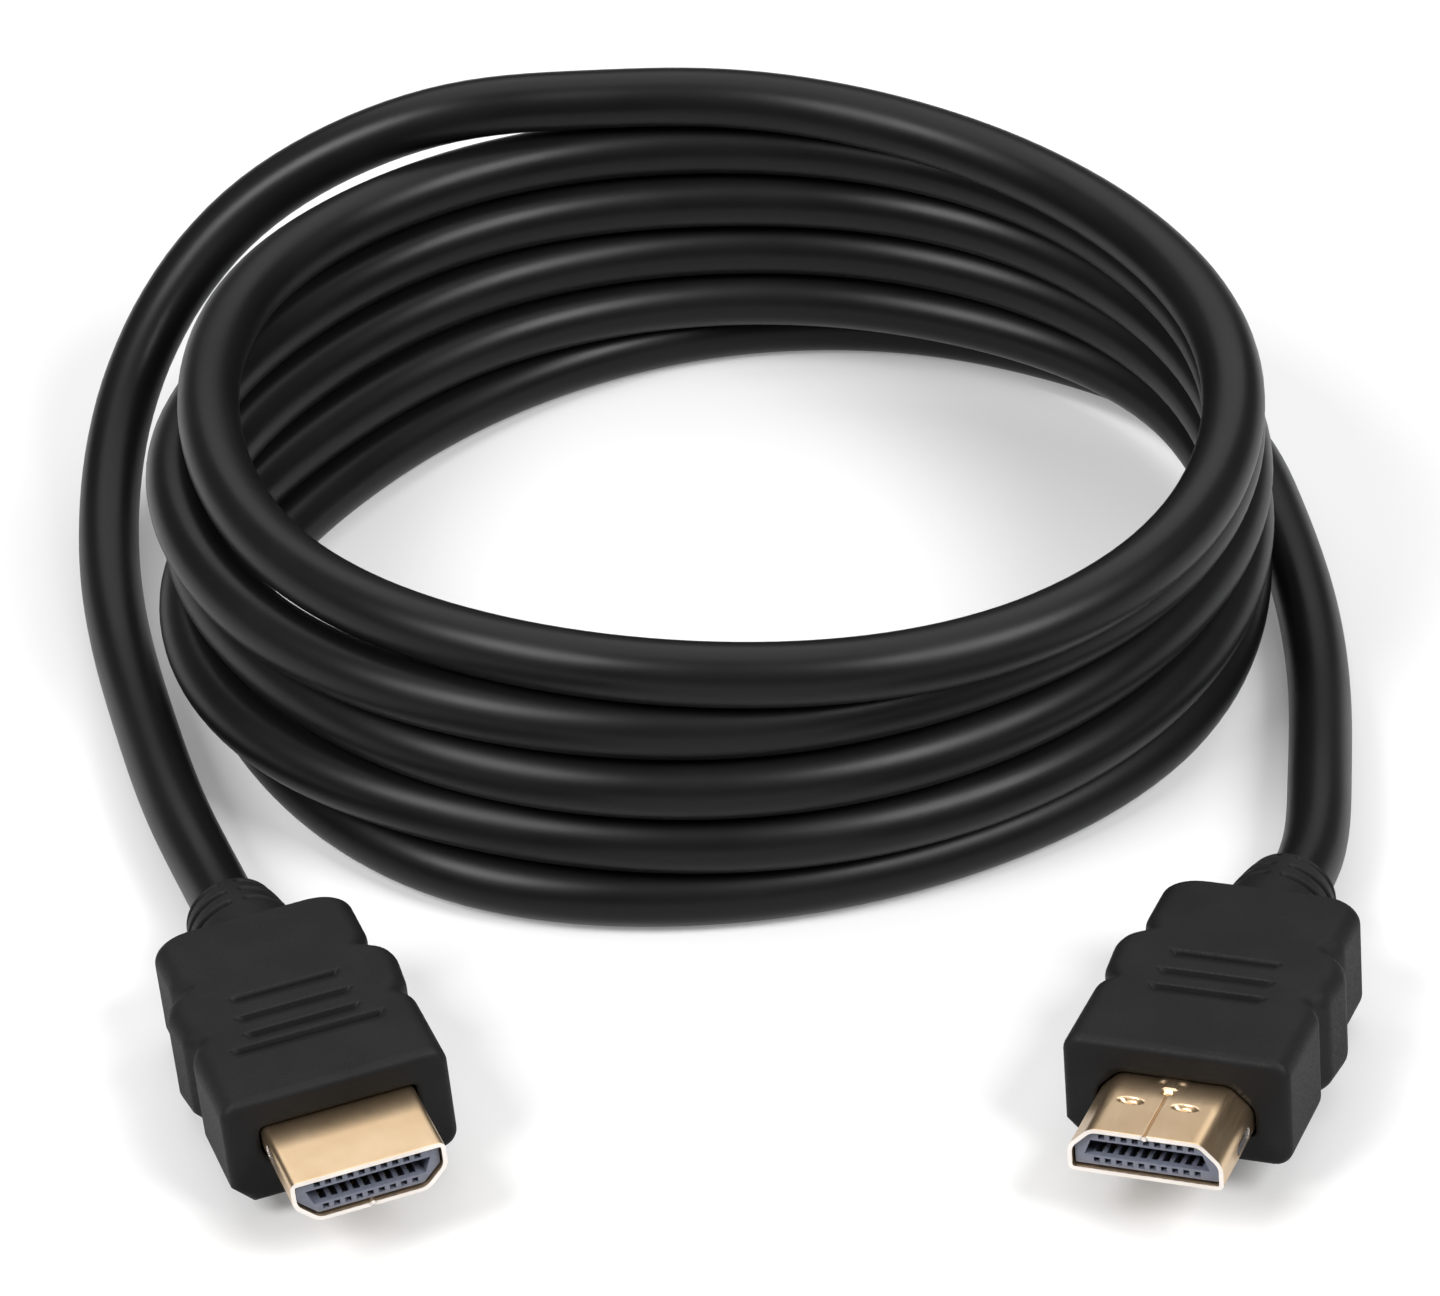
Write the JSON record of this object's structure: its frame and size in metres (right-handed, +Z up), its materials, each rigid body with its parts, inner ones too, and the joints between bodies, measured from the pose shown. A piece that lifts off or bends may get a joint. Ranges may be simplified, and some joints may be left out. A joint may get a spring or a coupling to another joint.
{
  "type": "audio-video cable",
  "caption": "Round black audio-video lead, wound in a stacked coil, with a moulded type-A plug on each end.",
  "frame": {"origin": "middle of the lying lead's footprint, on the floor under the coil and plugs", "axes": "+Z up out of the coil's bore, -Y towards the two plugs' mouths, +X to the right plug"},
  "size_m": [0.1244, 0.1494, 0.0366],
  "materials": {
    "cable_jacket": "soft black PVC, semi-gloss",
    "moulded_grip": "black moulded PVC, fine matte texture",
    "gold_shell": "pale gold plating on folded sheet metal",
    "carrier_plastic": "blue-grey moulded plastic",
    "contact_metal": "gold-plated contact strip"
  },
  "bodies": {
    "root": {"cable_coil": "cable_jacket", "left_cable_tail": "cable_jacket", "right_cable_tail": "cable_jacket", "left_plug_overmold": "moulded_grip", "right_plug_overmold": "moulded_grip", "left_plug_shell": "gold_shell", "right_plug_shell": "gold_shell", "left_contact_carrier": "carrier_plastic", "right_contact_carrier": "carrier_plastic", "left_contact_wide_1": "contact_metal", "left_contact_wide_2": "contact_metal", "left_contact_wide_3": "contact_metal", "left_contact_wide_4": "contact_metal", "left_contact_wide_5": "contact_metal", "left_contact_wide_6": "contact_metal", "left_contact_wide_7": "contact_metal", "left_contact_wide_8": "contact_metal", "left_contact_wide_9": "contact_metal", "left_contact_wide_10": "contact_metal", "left_contact_narrow_1": "contact_metal", "left_contact_narrow_2": "contact_metal", "left_contact_narrow_3": "contact_metal", "left_contact_narrow_4": "contact_metal", "left_contact_narrow_5": "contact_metal", "left_contact_narrow_6": "contact_metal", "left_contact_narrow_7": "contact_metal", "left_contact_narrow_8": "contact_metal", "left_contact_narrow_9": "contact_metal", "right_contact_wide_1": "contact_metal", "right_contact_wide_2": "contact_metal", "right_contact_wide_3": "contact_metal", "right_contact_wide_4": "contact_metal", "right_contact_wide_5": "contact_metal", "right_contact_wide_6": "contact_metal", "right_contact_wide_7": "contact_metal", "right_contact_wide_8": "contact_metal", "right_contact_wide_9": "contact_metal", "right_contact_wide_10": "contact_metal", "right_contact_narrow_1": "contact_metal", "right_contact_narrow_2": "contact_metal", "right_contact_narrow_3": "contact_metal", "right_contact_narrow_4": "contact_metal", "right_contact_narrow_5": "contact_metal", "right_contact_narrow_6": "contact_metal", "right_contact_narrow_7": "contact_metal", "right_contact_narrow_8": "contact_metal", "right_contact_narrow_9": "contact_metal"}
  },
  "joints": []
}
